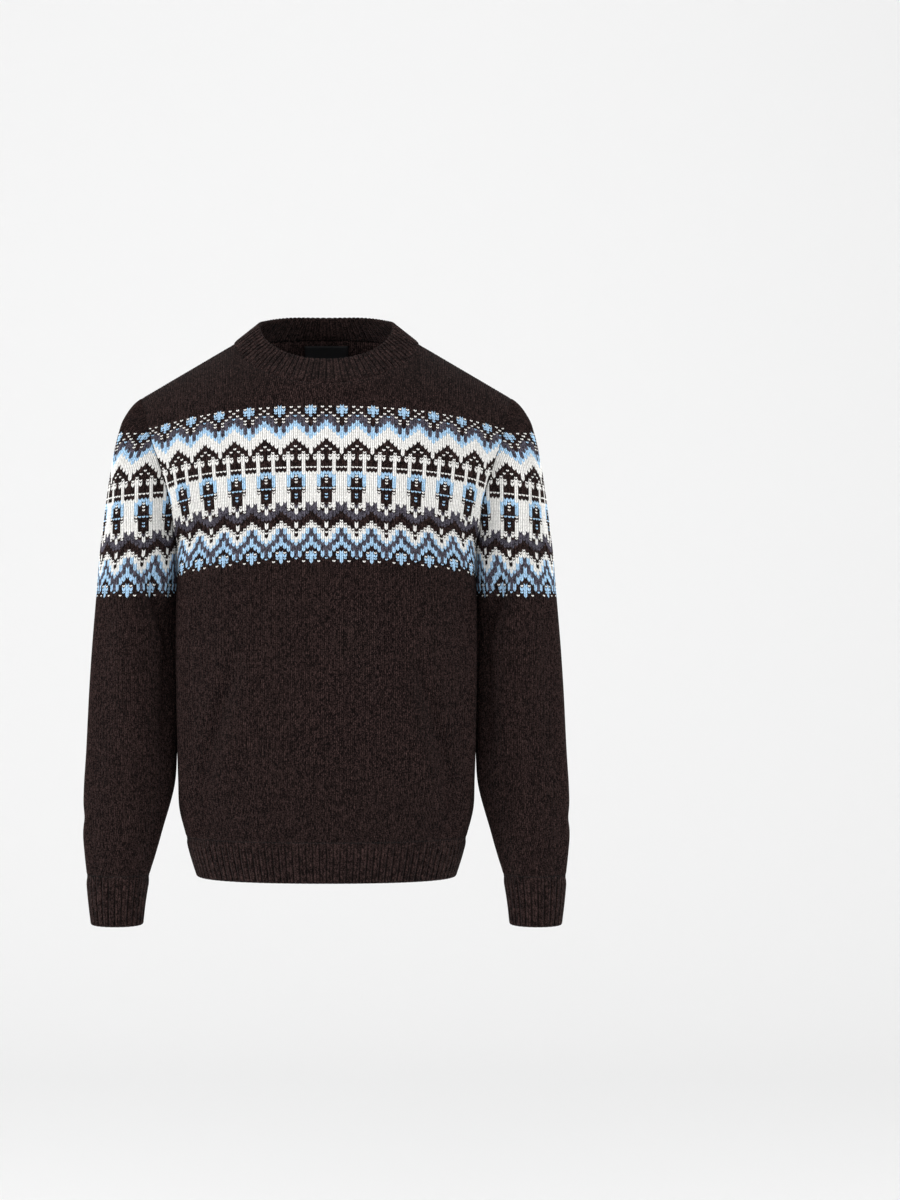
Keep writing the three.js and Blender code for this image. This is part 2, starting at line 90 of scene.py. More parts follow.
# A sleeve's: its height, outer side, inner side and middle, half its depth, and how its curve turns in.
SLEEVE_COLUMNS = ("course", "z", "outer", "inner", "y", "half", "turn_x", "turn")
SLEEVE_ROWS = (
    (-22, -721, 290, 229, -26, 33, 0, 1),
    (-14, -690, 294, 225.5, -23, 36, 0, 1),
    (-6, -659, 297, 220, -20, 40, 0, 1),
    (0, -639, 299.5, 214, -17, 44, 0, 1),
    (8, -611, 302, 206, -13, 50, 0, 1),
    (24, -553, 301.5, 190, -6, 57, 0, 1),
    (36, -511, 299.5, 187, -1, 62, 0, 1),
    (58, -431, 296, 186, 3, 67, 0, 1),
    (90, -318, 287.2, 186.5, 3, 73, 0, 1),
    (104, -266, 283.2, 187, 2, 75, 2, 0.95),
    (111, -241, 280.7, 187, 2, 76, 12, 0.54),
    (120, -207, 276.2, 187, 2, 76, 25, 0.22),
    (130, -168, 270, 187, 3, 74, 32, 0.1),
    (140, -128, 262.3, 187, 4, 68, 28, 0.04),
    (146, -103, 255.6, 187, 4, 60, 22, 0.02),
)
# The heights of the neckline and of the rib's free edge, by degrees from the front.
NECK_COLUMNS = ("angle", "base_z", "top_z")
NECK_ROWS = (
    (-30, -47, -18),
    (0, -57, -25),
    (30, -47, -18),
    (60, -24, 1),
    (90, 1, 25),
    (120, 6.5, 35),
    (150, 14, 41.5),
    (180, 17, 42.5),
    (210, 14, 41.5),
)
NECK_BASE = {"half_width": 115, "front": 105, "back": 92, "height": "base_z"}
NECK_TOP = {"half_width": 83, "front": 78, "back": 72, "height": "top_z"}


def table(names, rows):
    return dict(zip(names, np.array(rows, float).T))


BODY = table(BODY_COLUMNS, BODY_ROWS)
SLEEVE = table(SLEEVE_COLUMNS, SLEEVE_ROWS)
NECK = table(NECK_COLUMNS, NECK_ROWS)


def mix(low, high, share):
    return low + (high - low) * share


def ease(share):
    share = np.clip(share, 0, 1)
    return share * share * (3 - 2 * share)


def hermite(start, start_slope, end, end_slope, t):
    """A cubic curve by its ends and the slopes there."""
    return (
        start * (1 + 2 * t) * (1 - t) ** 2
        + start_slope * t * (1 - t) ** 2
        + end * t * t * (3 - 2 * t)
        + end_slope * t * t * (t - 1)
    )


def smooth(rows, key, column, at):
    """A column of a table at any value of its key, on a smooth curve."""
    keys, values = rows[key], rows[column]
    last = len(keys) - 1
    low = np.maximum(np.arange(last + 1) - 1, 0)
    high = np.minimum(np.arange(last + 1) + 1, last)
    slopes = (values[high] - values[low]) / (keys[high] - keys[low])
    i = np.clip(np.searchsorted(keys, at, side="right") - 1, 0, last - 1)
    span = keys[i + 1] - keys[i]
    return hermite(values[i], slopes[i] * span, values[i + 1], slopes[i + 1] * span, (at - keys[i]) / span)


def unit(v):
    return v / np.maximum(np.linalg.norm(v, axis=-1, keepdims=True), 1e-9)


def bezier(controls, t):
    """Points of a cubic curve through four controls."""
    t = np.asarray(t)[..., None]
    a, b, c, d = controls
    return a * (1 - t) ** 3 + 3 * b * t * (1 - t) ** 2 + 3 * c * t * t * (1 - t) + d * t**3


class Course:
    """Half a course as a curve that is read by the distance along it."""

    def __init__(self, controls, dent=0.0):
        self.controls = controls
        self.dent = dent
        self.shares = np.linspace(0, 1, CURVE_SAMPLES)
        points = bezier(controls, self.shares)
        gaps = np.linalg.norm(np.diff(points, axis=0), axis=1)
        self.lengths = np.concatenate([[0], np.cumsum(gaps)])
        self.length = self.lengths[-1]

    def at(self, distance):
        t = np.interp(np.minimum(distance, self.length), self.lengths, self.shares)
        points = bezier(self.controls, t)
        edge_x = self.controls[3][0]
        press = np.exp(-((points[..., 1] / DENT_WIDTH) ** 2))
        points[..., 0] -= self.dent * press * np.minimum(1, points[..., 0] / edge_x)
        return points


def panel_course(course, face):
    """A course of half a panel, from its middle to its edge. face is -1 for the front and 1 for the back."""

    def at(column):
        return smooth(BODY, "course", column, course)

    depth = face * at("front" if face < 0 else "back")
    middle_z = at("middle_z")
    edge = np.array([at("edge_x"), face * max(0.0, at("edge_y")), at("edge_z")])
    controls = (
        np.array([0, depth, middle_z]),
        np.array([0.6 * edge[0], depth, middle_z]),
        np.array([edge[0] + at("lean"), edge[1] + face * at("reach"), mix(middle_z, edge[2], 0.6)]),
        edge,
    )
    return Course(controls, SIDE_DENT * at("dent"))


def panel_full(course, face):
    """How long half a course is with the piece that the armhole takes away."""
    return panel_course(min(course, UNDERARM), face).length


def neck_point(ring, angle):
    """A point of the neckline or the rib's edge, by degrees from the front towards the left."""
    turn = np.radians(angle)
    across, along = np.sin(turn), np.cos(turn)
    depth = np.where(along > 0, ring["front"], ring["back"])
    folded = np.where(np.asarray(angle) > 180, 360 - np.asarray(angle), angle)
    return np.stack(
        [
            ring["half_width"] * np.sign(across) * np.abs(across) ** NECK_ROUNDNESS,
            -depth * np.sign(along) * np.abs(along) ** NECK_ROUNDNESS,
            smooth(NECK, "angle", ring["height"], folded),
        ],
        -1,
    )


def hermite_curves(low, start, top, end):
    return hermite(low, start, top, end, np.linspace(0, 1, CURVE_POINTS)[:, None, None])


def yoke_curves(distance, face):
    """Columns from the last course to the neckline or the shoulder seam: points [t, column, xyz]."""
    full = panel_full(LAST_COURSE, face)
    last, before = panel_course(LAST_COURSE, face), panel_course(LAST_COURSE - 1, face)
    edge_share = last.length / full
    share = np.minimum(distance / full, edge_share)
    angles = np.linspace(0, 90, 181)
    shares = NECK_SHARE * mix(angles / 90, np.sin(np.radians(angles)) ** NECK_ROUNDNESS, 0.7)
    turned = np.interp(share, shares, angles)
    past = np.clip((share - NECK_SHARE) / (edge_share - NECK_SHARE), 0, 1)[:, None]
    low, below = last.at(distance), before.at(distance)
    angle = turned if face < 0 else 180 - turned
    top = neck_point(NECK_BASE, angle)
    up_neck = neck_point(NECK_TOP, angle) - top
    up_neck[:, 0] = 0
    up_neck = unit(up_neck)
    top = mix(top, SHOULDER, past)
    length = np.linalg.norm(top - low, axis=1)[:, None]
    turned_over = mix(0.65 * (turned[:, None] / 90) ** 2, 1, 1 - (1 - past) ** 2)
    end = unit(mix(up_neck, np.array([0.0, -face, 0.0]), turned_over)) * length
    return hermite_curves(low, unit(low - below) * length, top, end)


def sleeve_course(course, face):
    """A course of half a sleeve, from its outer side to its seam or the armhole."""

    def at(column):
        return smooth(SLEEVE, "course", column, course)

    outer = np.array([at("outer"), at("y"), at("z")])
    edge = np.array([at("inner"), at("y"), at("z")])
    # From the underarm up a sleeve ends on the panel's edge. Just below, its courses draw in and up to there.
    panel = panel_course(max(course, UNDERARM), face)
    panel_edge = panel.at(np.array(panel.length))
    if course >= UNDERARM:
        edge = panel_edge
    else:
        drawn = ease((course - UNDERARM + SEAM_DRAW) / SEAM_DRAW)
        edge[:2] = mix(edge[:2], panel_edge[:2], drawn)
        edge[2] += (panel_edge[2] - smooth(SLEEVE, "course", "z", UNDERARM)) * drawn
    reach = face * 4 / 3 * at("half")
    controls = (
        outer,
        outer + np.array([0, reach, 0]),
        np.array([edge[0] + at("turn_x"), edge[1] + reach * at("turn"), mix(edge[2], outer[2], 0.3)]),
        edge,
    )
    return Course(controls)


def cap_curves(distance, face):
    """Columns of a sleeve from the last course to the armhole, as yoke_curves gives them."""
    last, before = sleeve_course(LAST_COURSE, face), sleeve_course(LAST_COURSE - 1, face)
    over = np.minimum(distance / last.length, 1)
    low, below = last.at(distance), before.at(distance)
    armhole = yoke_curves(np.array([PAST_EDGE]), face)[:, 0]
    places = np.linspace(0, 1, len(armhole))
    top = np.stack([np.interp(1 - over, places, armhole[:, axis]) for axis in range(3)], -1)
    length = np.linalg.norm(top - low, axis=1)[:, None]
    end = np.stack([np.full_like(over, -0.87), face * -0.45 * over, np.full_like(over, 0.5)], -1)
    return hermite_curves(low, unit(low - below) * length, top, unit(end) * length)


def step_up(curves, count):
    """Reads each curve at whole courses from its foot: points, and courses gone, both clamped at its end."""
    gaps = np.linalg.norm(np.diff(curves, axis=0), axis=2)
    lengths = np.vstack([np.zeros(curves.shape[1]), np.cumsum(gaps, axis=0)])
    gone = np.arange(1, count + 1)[:, None] * COURSE * np.ones(curves.shape[1])
    total = lengths[-1]
    gone = np.where(gone > total - LEAST_COURSE * COURSE, total, gone)
    points = np.empty((count, curves.shape[1], 3))
    for k in range(curves.shape[1]):
        for axis in range(3):
            points[:, k, axis] = np.interp(gone[:, k], lengths[:, k], curves[:, k, axis])
    return points, gone / COURSE


def half_grid(wales, first, course_at, pitch_at, curves_of, upper):
    """Half a piece from its middle column out: points, wales across, courses up and wales to the edge."""
    points, across, up, left = [], [], [], []
    for course in range(first, LAST_COURSE + 1):
        curve, pitch = course_at(course), pitch_at(course)
        reach = wales * pitch
        room = curve.length - reach
        reach = np.where(room < LEAST_COLUMN * pitch, curve.length, reach)
        points.append(curve.at(reach))
        across.append(reach / pitch)
        up.append(np.full(len(wales), float(course)))
        left.append(np.clip(room / pitch, 0, None))
    # The rows above go on from where the columns stand on the last course.
    rows, gone = step_up(curves_of(reach), upper)
    for row, courses in zip(rows, gone):
        points.append(row)
        across.append(across[-1])
        up.append(LAST_COURSE + courses)
        left.append(left[-1])
    return [np.array(a) for a in (points, across, up, left)]


def joined_halves(first_half, second_half):
    """Puts a half with its columns turned round before the other half."""
    points, across, up, left = first_half
    turned = [points[:, :0:-1], -across[:, :0:-1], up[:, :0:-1], left[:, :0:-1]]
    return [np.concatenate(pair, axis=1) for pair in zip(turned, second_half)]


def panel_grid(face):
    wales = np.arange(HALF_WALES * PER_WALE + 1) / PER_WALE
    courses = {c: panel_course(c, face) for c in range(LAST_COURSE + 1)}

    def pitch_at(course):
        plain = courses[min(course, UNDERARM)].length / HALF_WALES
        return plain * (1 + SPREAD * ease((course - SPREAD_FROM) / SPREAD_OVER))

    half = half_grid(wales, 0, courses.get, pitch_at, lambda reach: yoke_curves(reach, face), YOKE_ROWS)
    other = [a.copy() for a in half]
    other[0][..., 0] *= -1
    grid = joined_halves(other, half)
    if face > 0:
        grid = [a[:, ::-1] for a in grid]
    return grid


def sleeve_grid():
    half_of = {}
    for face in (-1, 1):
        courses = {c: sleeve_course(c, face) for c in range(SLEEVE_FOOT, LAST_COURSE + 1)}
        longest = max(curve.length for curve in courses.values())
        wales = np.arange(math.ceil(longest / WALE) * PER_WALE + 1) / PER_WALE
        half_of[face] = half_grid(
            wales,
            SLEEVE_FOOT,
            courses.get,
            lambda course: WALE,
            lambda reach: cap_curves(reach, face),
            CAP_ROWS,
        )
    return joined_halves(half_of[-1], half_of[1])


V_DROP = 0.72  # how far a stitch's middle hangs below its two ends, in courses
RELIEF = (-0.05, 0.48, -0.4, 0.48)  # how far out each column of a wale lies, from the stitch's middle on
SEAM_DIP = 0.5
AT_SEAM = 0.05  # points this near to an edge, in wales, are on a seam
WELD = 0.02  # points this near are one


def stitched(grid):
    """Turns rows into rows of V stitches: the points, and how far out each lies."""
    points, across, up, left = grid
    columns = points.shape[1]
    middle = int(np.argmin(np.abs(across[0])))
    place = np.abs(np.arange(columns) - middle) % PER_WALE
    half_way = np.minimum(place, PER_WALE - place) / (PER_WALE / 2)
    drop = V_DROP * (1 - half_way) * np.clip(left, 0, 1)
    below = np.concatenate([points[:1], points[:-1]])
    skewed = points - drop[..., None] * (points - below)
    relief = np.array(RELIEF)[place] * np.ones(points.shape[:2])
    return skewed, relief


def weld(points):
    """Joins points that lie together: each one's number, and the first point of each number."""
    keys = np.round(points.reshape(-1, 3) / WELD).astype(np.int64)
    _, first, number = np.unique(keys, axis=0, return_index=True, return_inverse=True)
    return number.ravel(), first


def cells(rows, columns):
    """The corners of each cell of a grid, as flat numbers."""
    a = (np.arange(rows - 1)[:, None] * columns + np.arange(columns - 1)).ravel()
    return np.stack([a, a + 1, a + columns + 1, a + columns], 1)


def triangles(corners):
    return np.concatenate([corners[:, [0, 1, 2]], corners[:, [0, 2, 3]]])


def whole(faces, number):
    """A mask of the triangles that keep three corners once points are joined."""
    n = number[faces]
    return (n[:, 0] != n[:, 1]) & (n[:, 1] != n[:, 2]) & (n[:, 2] != n[:, 0])


def vertex_normals(points, faces):
    normals = np.zeros_like(points)
    areas = np.cross(points[faces[:, 1]] - points[faces[:, 0]], points[faces[:, 2]] - points[faces[:, 0]])
    for corner in range(3):
        np.add.at(normals, faces[:, corner], areas)
    return unit(normals)


def loops_of(faces, count):
    """The open edges of a mesh, as ordered rings of points."""
    sides = np.concatenate([faces[:, [0, 1]], faces[:, [1, 2]], faces[:, [2, 0]]])
    key = sides[:, 0].astype(np.int64) * count + sides[:, 1]
    twin = sides[:, 1].astype(np.int64) * count + sides[:, 0]
    single = sides[~np.isin(key, twin)]
    following = {int(a): int(b) for a, b in single}
    rings = []
    while following:
        start = next(iter(following))
        ring, here = [start], following.pop(start)
        while here != start:
            ring.append(here)
            here = following.pop(here)
        rings.append(ring)
    return rings


# Each yarn's colour, and how strongly it is heathered.
BROWN = (0.0220, 0.0128, 0.0118, 1.0)
CREAM = (0.96, 0.95, 0.92, 0.1)
BLUE = (0.44, 0.68, 0.93, 0.2)
CHARCOAL = (0.085, 0.078, 0.1, 0.55)

# The marks of the chart: a whole stitch of a yarn, or a fleck of it on brown.
YARNS = {".": BROWN, "w": CREAM, "b": BLUE, "c": CHARCOAL, "f": CREAM, "g": BLUE}
FLECKS = "fg"

# The band, charted from its top course down. Each line is half a repeat of eight stitches,
# from the window's middle out to the star's, and the other half mirrors it.
CHART = (
    ".f.fb", "f..bb", ".f.gb", "gcf.g", "cccf.", "bccf.", "bbcc.", "wbbcb", "wwbcb", "wwwbb",
    "wwwwb", ".wwww", "..www", "f..ww", ".f..w", "..f.w", ".fwf.", ".www.", "..w..", "..w..",
    "ffwff", "..w..", "bbwww", "fbbww", "f.bww", "f.bww", "..bww", "ggfww", "..fww", "g.www",
    "g.www", "..www", ".fwcw", "cwwcc", "w.fcc", "wccc.", "ccc..", "cc...", "....f", "w..fw",
    "w.fww", ".fwbc", "fwwbc", ".wbcc", "wwbcb", "wbccb", "bccbb", "ccbb.", "ccb..", "cb.fb",
    "cb.bb", "g..gb", "..f.b",
)
REPEAT = 8


def yarn_of(wale, course, top):
    """The colour of each stitch by its wale and course, and whether it is only a fleck."""
    palette = np.array([[YARNS[mark] for mark in row] for row in CHART])
    flecked = np.array([[float(mark in FLECKS) for mark in row] for row in CHART])
    row = top - course
    inside = (row >= 0) & (row < len(CHART))
    row = np.clip(row, 0, len(CHART) - 1)
    out = np.abs((wale + REPEAT // 2) % REPEAT - REPEAT // 2)
    colours = np.where(inside[:, None], palette[row, out], np.array(BROWN))
    return colours, np.where(inside, flecked[row, out], 0.0)


def linked(name, data):
    """A new object in the scene."""
    thing = bpy.data.objects.new(name, data)
    bpy.context.scene.collection.objects.link(thing)
    return thing


def make_mesh(name, points, faces, uvs, colours, edge_faces, flecks=None):
    """A mesh in metres. uvs holds named lists of corner places, colours and flecks one value a corner.

    edge_faces says which faces are a cut edge, whose light must not blend into the cloth beside it.
    """
    # A seam has a few triangles twice, once from each side. The first is kept, so that each run is the same.
    kept = np.sort(np.unique(np.sort(faces, axis=1), axis=0, return_index=True)[1])
    corners = (3 * kept[:, None] + np.arange(3)).ravel()
    faces, edge_faces = faces[kept], edge_faces[kept]
    mesh = bpy.data.meshes.new(name)
    mesh.vertices.add(len(points))
    mesh.vertices.foreach_set("co", (points * MM).astype(np.float32).ravel())
    mesh.loops.add(faces.size)
    mesh.loops.foreach_set("vertex_index", faces.astype(np.int32).ravel())
    mesh.polygons.add(len(faces))
    mesh.polygons.foreach_set("loop_start", np.arange(0, faces.size, 3, dtype=np.int32))
    mesh.polygons.foreach_set("use_smooth", ~edge_faces)
    for uv_name, places in uvs.items():
        layer = mesh.uv_layers.new(name=uv_name)
        layer.data.foreach_set("uv", places[corners].astype(np.float32).ravel())
    yarn = mesh.color_attributes.new("yarn", "FLOAT_COLOR", "CORNER")
    yarn.data.foreach_set("color", colours[corners].astype(np.float32).ravel())
    fleck = mesh.attributes.new("fleck", "FLOAT", "CORNER")
    if flecks is not None:
        fleck.data.foreach_set("value", flecks[corners].astype(np.float32))
    mesh.update(calc_edges=True)
    mesh.validate()
    return linked(name, mesh)


# Soft folds, each from one wale and course to another: how wide in millimetres, and how high or deep.
BODY_FOLDS = (
    (25, 60, 42, 0, 12, -8.5),
    (19, 56, 35, 2, 14, 3.4),
    (49, 96, 36, 70, 14, -3.6),
)
SLEEVE_FOLDS = (
    (-25, 98, -36, 76, 15, -14.0),
    (-37, 92, -33, 42, 17, -13.0),
    (-19, 84, -21, 46, 18, 3.0),
    (28, 96, 36, 62, 16, -9.0),
    (26, 58, 8, 38, 14, -2.6),
    (-18, 22, 4, 12, 11, -2.2),
)
WAVER = 0.5  # how far the cloth wavers between its folds
FOLDS_BEGIN = 12  # courses from the lower seam over which the folds grow
FOLDS_END = 40  # and over which they fade towards the last course
FOLDS_LEFT = 0.3  # the share of that fade that is left at the last course


def folds_of(lines, both_sides):
    """A function that says how far out of its plain form the cloth lies at wales and courses.

    both_sides repeats the folds on the other half of a panel.
    """

    def read(wales, courses):
        x = (np.abs(wales) if both_sides else wales) * WALE
        y = courses * COURSE
        total = WAVER * np.sin(0.021 * x + 1.3 * np.sin(0.013 * y)) * np.sin(0.016 * y + 0.7)
        for x0, y0, x1, y1, width, height in lines:
            start = np.array([x0 * WALE, y0 * COURSE])
            along = np.array([x1 * WALE, y1 * COURSE]) - start
            share = ((x - start[0]) * along[0] + (y - start[1]) * along[1]) / (along @ along)
            held = np.clip(share, 0, 1)
            gap = np.hypot(x - start[0] - held * along[0], y - start[1] - held * along[1])
            swell = np.sin(np.pi * (0.15 + 0.7 * held))
            total = total + height * swell * np.exp(-((gap / width) ** 2))
        return total * ease(courses / FOLDS_BEGIN) * ease((LAST_COURSE - courses) / FOLDS_END + FOLDS_LEFT)

    return read


# The sheet inside takes one row and one column of the stitches' grid in this many.
INNER_ROWS = 4
INNER_COLUMNS = 8

# Where the parts of a knit piece lie in its square for baked textures: height and foot of the stitches and of
# the sheet inside, and the heights of the strip's three corners.
BAKE_MARGIN = 0.01
BAKE_WIDTH = 0.98
BAKE_OUTER = (0.76, 0.01)
BAKE_INNER = (0.18, 0.79)
BAKE_STRIP = (0.98, 0.985, 0.99)


def inner_triangles(rows, columns, middle, number):
    """The triangles of the coarser sheet, on the points of the fine grid."""
    picked_rows = np.unique(np.append(np.arange(0, rows, INNER_ROWS), rows - 1))
    inside = np.arange(middle % INNER_COLUMNS, columns, INNER_COLUMNS)
    picked_columns = np.unique(np.concatenate([[0], inside, [columns - 1]]))
    to_fine = (picked_rows[:, None] * columns + picked_columns).ravel()
    faces = to_fine[triangles(cells(len(picked_rows), len(picked_columns)))]
    return faces[whole(faces, number)]


def edge_strip(rings, on_rim, inner_number):
    """The triangles from the stitches' edges to the sheet inside, and how far round an edge each lies."""
    strip, places = [], []
    for ring in rings:
        start = next(i for i, k in enumerate(ring) if k in on_rim)
        turned = ring[start:] + ring[: start + 1]
        here = inner_number[turned[0]]
        for i, (a, b) in enumerate(zip(turned, turned[1:])):
            strip.append((b, a, here))
            places.append(i / len(ring))
            if b in on_rim and inner_number[b] != here:
                strip.append((b, here, inner_number[b]))
                places.append(i / len(ring))
                here = inner_number[b]
    return np.array(strip), np.array(places)


def knit_piece(name, grid, band_top, folds):
    """A closed shell: stitches outside, a coarser sheet inside and a strip between them round each edge."""
    points, across, up, left = grid
    rows, columns = points.shape[:2]
    middle = int(np.argmin(np.abs(across[0])))
    skewed, relief = stitched(grid)
    number, first = weld(skewed)
    flat = skewed.reshape(-1, 3)[first]
    room = left.ravel()[first]
    corners = cells(rows, columns)
    faces = triangles(corners)
    kept = whole(faces, number)
    faces = faces[kept]
    joined = number[faces]
    normals = vertex_normals(flat, joined)
    rings = loops_of(joined, len(flat))
    dip = relief.ravel()[first] * np.clip(room, 0, 1)
    for ring in rings:
        dip[ring] = np.where(room[ring] < AT_SEAM, -SEAM_DIP, 0)
    bulge = folds(across.ravel()[first], up.ravel()[first])
    outer = flat + normals * (dip + bulge)[:, None]

    inner_faces = inner_triangles(rows, columns, middle, number)
    inner_joined = number[inner_faces]
    used = np.unique(inner_joined)
    inner_number = np.full(len(flat), -1)
    inner_number[used] = len(flat) + np.arange(len(used))
    inner = flat[used] + normals[used] * (bulge[used] - THICK)[:, None]
    on_rim = {k for ring in loops_of(inner_joined, len(flat)) for k in ring}
    strip, strip_places = edge_strip(rings, on_rim, inner_number)

    stitch = np.stack([across.ravel(), up.ravel()], 1)
    low, high = stitch.min(0), stitch.max(0)
    outer_uv = stitch[faces.ravel()]
    inner_uv = stitch[inner_faces[:, ::-1].ravel()]

    def baked(places, height, foot):
        return (places - low) / (high - low) * np.array([BAKE_WIDTH, height]) + np.array([BAKE_MARGIN, foot])

    strip_u = BAKE_MARGIN + BAKE_WIDTH * np.repeat(strip_places, 3)
    strip_baked = np.stack([strip_u, np.tile(BAKE_STRIP, len(strip))], 1)
    uvs = {
        "OFBake": np.concatenate([baked(outer_uv, *BAKE_OUTER), baked(inner_uv, *BAKE_INNER), strip_baked]),
        "stitches": np.concatenate([outer_uv, inner_uv, np.zeros((strip.size, 2))]),
    }

    # Each cell of the grid has the yarn of the stitch that it is in.
    row, column = np.divmod(np.concatenate([np.arange(len(corners))] * 2)[kept], columns - 1)
    centre = (column + 0.5 - middle) / PER_WALE
    if across[0, -1] < across[0, 0]:
        centre = -centre
    wale = np.round(centre).astype(int)
    course = row + int(up[0, 0])
    colours, flecks = (np.repeat(values, 3, axis=0) for values in yarn_of(wale, course, band_top))
    plain = np.tile(BROWN, (inner_joined.size + strip.size, 1))
    all_faces = np.concatenate([joined, inner_number[inner_joined[:, ::-1]], strip])
    return make_mesh(
        name,
        np.concatenate([outer, inner]),
        all_faces,
        uvs,
        np.concatenate([colours, plain]),
        np.arange(len(all_faces)) >= len(all_faces) - len(strip),
        np.concatenate([flecks, np.zeros(len(plain))]),
    )


RIB_WALL = 2.2
RIB_RISE = 1.9
RIB_POINTS = 8  # columns of points in a rib
RIM_STEPS = 5  # rows of points over the rounded free edge
RIB_TUCK = 0.6  # how far a rib's foot reaches past its seam, under the plain knit
RIB_SUNK = 0.2  # how far in it lies there
RIB_FADE = 0.16  # the share of a rib's height over which it rises from the plain knit
CREST_POWER = 0.75  # under 1 makes a crest broader than its groove
INSIDE_POWER = 0.9
INSIDE_RISE = 0.35  # the ribs' height inside, as a share of RIB_RISE
DROOP_WIDTH = 0.3  # half the width over which a rib's stitches hang, as a share of the rib
# Painted shade and highlight: a rib's outside colour is darkened in its grooves and brightened on its crests,
# standing in for the light on its relief.
GROOVE_PAINTED_SHADE = 0.45
CREST_PAINTED_HIGHLIGHT = 1.15
PAINTED_SHADE_FADE = 1 / 3  # the share of a rib's height over which its painted shading begins
PATH_STEP = 1e-3


def ribbed_ring(name, ribs, rows, path, level, hangs):
    """A ribbed ring with a rounded free edge. path takes shares from the seam and round, and gives points.

    level keeps the way out level, and hangs says that the free edge is below.
    """
    around = np.arange(ribs * RIB_POINTS + 1) / (ribs * RIB_POINTS)
    within = np.arange(ribs * RIB_POINTS + 1) % RIB_POINTS / RIB_POINTS
    crest = np.abs(np.sin(np.pi * within)) ** CREST_POWER
    inside_crest = np.abs(np.cos(np.pi * within)) ** INSIDE_POWER
    height = np.linalg.norm(path(1.0, around)[0] - path(0.0, around)[0])
    rim = (RIB_WALL + RIB_RISE) / 2 / height
    tuck = RIB_TUCK / height
    # The wall's profile, as heights and sides: up the outside, over the free edge and down the inside.
    profile = [(up, 1.0) for up in np.linspace(-tuck, 1 - rim, rows + 1)]
    for k in range(1, RIM_STEPS + 1):
        turn = np.pi * k / (RIM_STEPS + 1)
        profile.append((1 - rim + rim * np.sin(turn), np.cos(turn)))
    profile += [(up, -1.0) for up in np.linspace(1 - rim, -tuck, rows + 1)]
    droop = V_DROP / rows * np.clip(1 - np.abs(within - 0.5) / DROOP_WIDTH, 0, 1) * (1 if hangs else -1)
    lines = []
    for j, (up, side) in enumerate(profile):
        place = up + (droop if 0 < j < rows else 0)
        point = path(place, around)
        ahead = path(place, around + PATH_STEP) - path(place, around - PATH_STEP)
        rise = path(place + PATH_STEP, around) - path(place - PATH_STEP, around)
        out = unit(np.cross(ahead, rise))
        if level:
            out = unit(out * np.array([1, 1, 0.0]))
        shown = ease(up / RIB_FADE)
        outside = RIB_RISE * crest * shown - RIB_SUNK * (1 - shown)
        inside = -RIB_WALL - INSIDE_RISE * RIB_RISE * inside_crest
        lines.append(point + out * ((outside + inside) / 2 + (outside - inside) / 2 * side)[:, None])
    points = np.array(lines + lines[:1])
    points[:, -1] = points[:, 0]
    all_rows, columns = points.shape[:2]
    number, first = weld(points)
    faces = triangles(cells(all_rows, columns))
    faces = faces[whole(faces, number)]
    joined = number[faces]
    j, k = np.divmod(faces.ravel(), columns)
    uvs = {
        "OFBake": np.stack([0.005 + 0.99 * k / (columns - 1), 0.005 + 0.99 * j / (all_rows - 1)], 1),
        "stitches": np.stack([k / RIB_POINTS, j.astype(float)], 1),
    }
    # Outside, painted shade darkens the grooves and a painted highlight brightens the crests.
    painted_shading = mix(1.0, mix(GROOVE_PAINTED_SHADE, CREST_PAINTED_HIGHLIGHT, crest[k]), ease(j / rows / PAINTED_SHADE_FADE))
    colours = np.tile(BROWN, (joined.size, 1))
    colours[:, :3] *= np.where(j <= rows, painted_shading, 1.0)[:, None]
    seam_faces = j.reshape(-1, 3).max(1) == all_rows - 1
    return make_mesh(name, points.reshape(-1, 3)[first], joined, uvs, colours, seam_faces)


TABLE_COURSES = 33
TABLE_SHARES = 129


def lookup(course_of, first, last):
    """A function that gives the point at a course and a share of its length, read from a table of courses."""
    shares = np.linspace(0, 1, TABLE_SHARES)
    made = []
    for course in np.linspace(first, last, TABLE_COURSES):
        curve = course_of(course)
        made.append(curve.at(shares * curve.length))
    made = np.array(made)

    def read(course, share):
        i = np.clip((course - first) / (last - first), 0, 1) * (TABLE_COURSES - 1)
        k = np.clip(share, 0, 1) * (TABLE_SHARES - 1)
        i0 = np.minimum(i.astype(int), TABLE_COURSES - 2)
        k0 = np.minimum(k.astype(int), TABLE_SHARES - 2)
        along = (k - k0)[:, None]
        low = mix(made[i0, k0], made[i0, k0 + 1], along)
        high = mix(made[i0 + 1, k0], made[i0 + 1, k0 + 1], along)
        return mix(low, high, (i - i0)[:, None])

    return read


panel_tables = {face: lookup(lambda c: panel_course(c, face), HEM_FOOT, 0) for face in (-1, 1)}
sleeve_tables = {face: lookup(lambda c: sleeve_course(c, face), CUFF_FOOT, SLEEVE_FOOT) for face in (-1, 1)}


def ring_of_courses(course, around, tables, whole_half):
    """Points round a ring that starts at the middle of the front and goes to the left side first.

    A panel's half course is a quarter of the ring, and is mirrored onto the right. A sleeve's is half of the
    ring, from its outer side on the left, which whole_half says.
    """
    quarter = 4 * (np.asarray(around) % 1)
    front = (quarter < 1) | (quarter > 3)
    left = quarter < 2
    turns = [quarter < 1, quarter < 2, quarter < 3]
    share = np.select(turns, [quarter, 2 - quarter, quarter - 2], 4 - quarter)
    if whole_half:
        share = 0.5 + np.where(left, -0.5, 0.5) * share
    points = np.where(front[:, None], tables[-1](course, share), tables[1](course, share))
    if not whole_half:
        points[:, 0] *= np.where(left, 1, -1)
    return points


# Paths for the ribbed rings, from the seam at 0 to the free edge at 1. up is one value or one for each place.


def for_each(up, around):
    return np.broadcast_to(np.asarray(up, float), (len(around),))


def hem_path(up, around):
    return ring_of_courses(mix(0.0, float(HEM_FOOT), for_each(up, around)), around, panel_tables, False)


